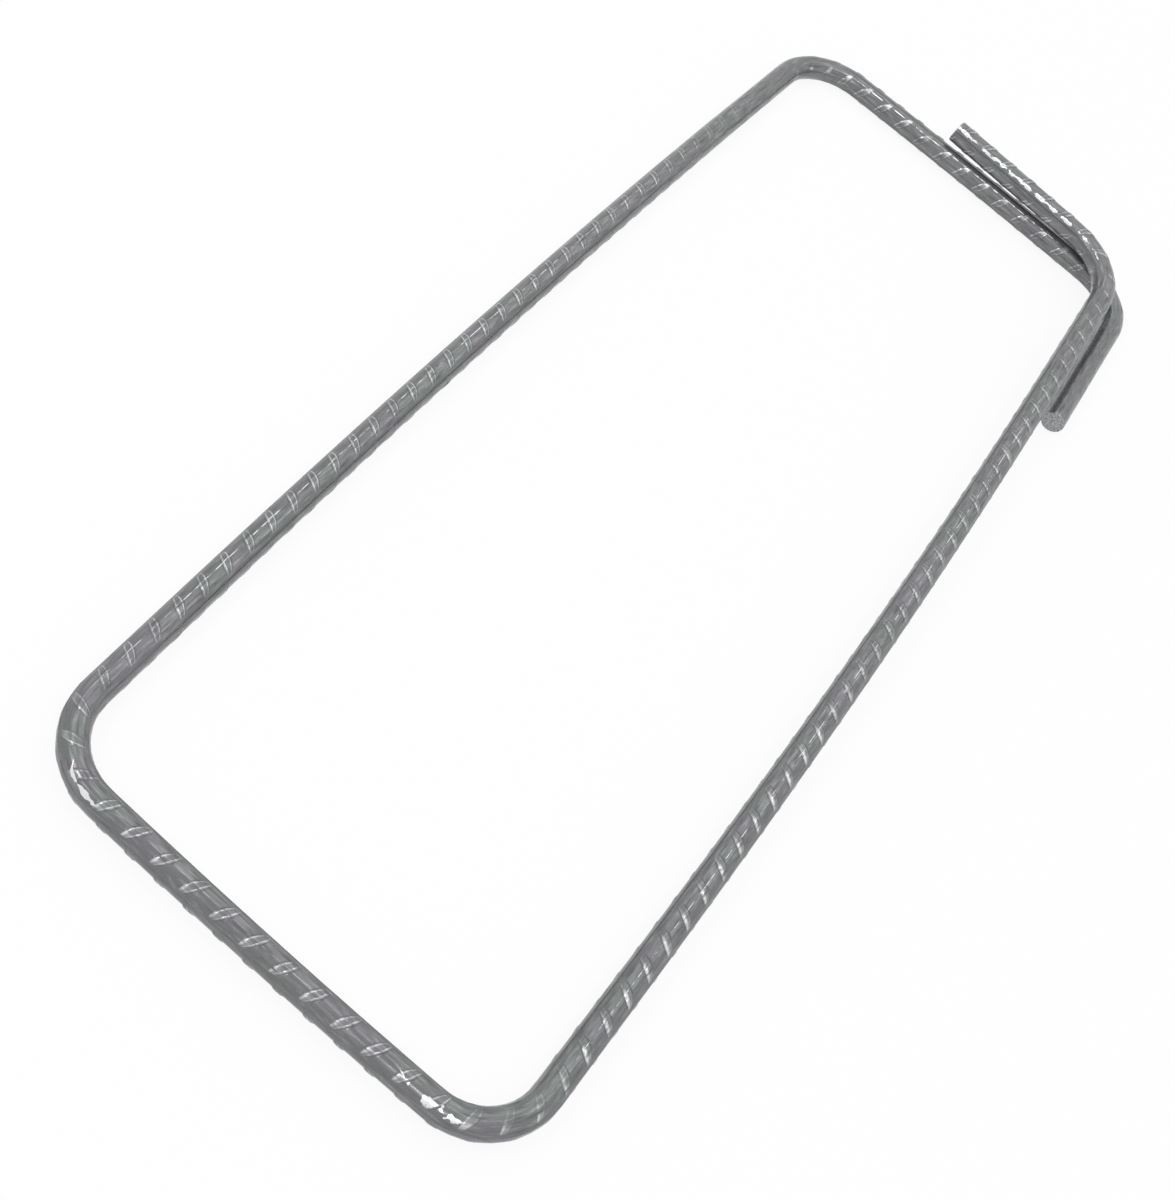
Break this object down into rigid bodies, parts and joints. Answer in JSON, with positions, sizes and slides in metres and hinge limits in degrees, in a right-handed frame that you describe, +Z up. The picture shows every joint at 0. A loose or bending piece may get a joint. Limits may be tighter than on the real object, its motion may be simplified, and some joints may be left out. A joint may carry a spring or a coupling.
{
  "type": "rebar stirrup",
  "caption": "Closed rectangular stirrup bent from one ribbed steel bar, with two 90 degree tails lapped at one corner.",
  "frame": {"origin": "centre of the stirrup's bounding box, on the floor it lies on", "axes": "+Y along the long sides towards the lapped end, +X across the loop towards the side with the floor tail, +Z up from the floor"},
  "size_m": [0.1544, 0.4093, 0.0168],
  "materials": {
    "rebar_steel": "cold-rolled ribbed bar, blue-grey with a satin sheen, streaked lengthwise and bright along the edges of its ribs"
  },
  "bodies": {
    "root": {"stirrup": "rebar_steel"}
  },
  "joints": []
}
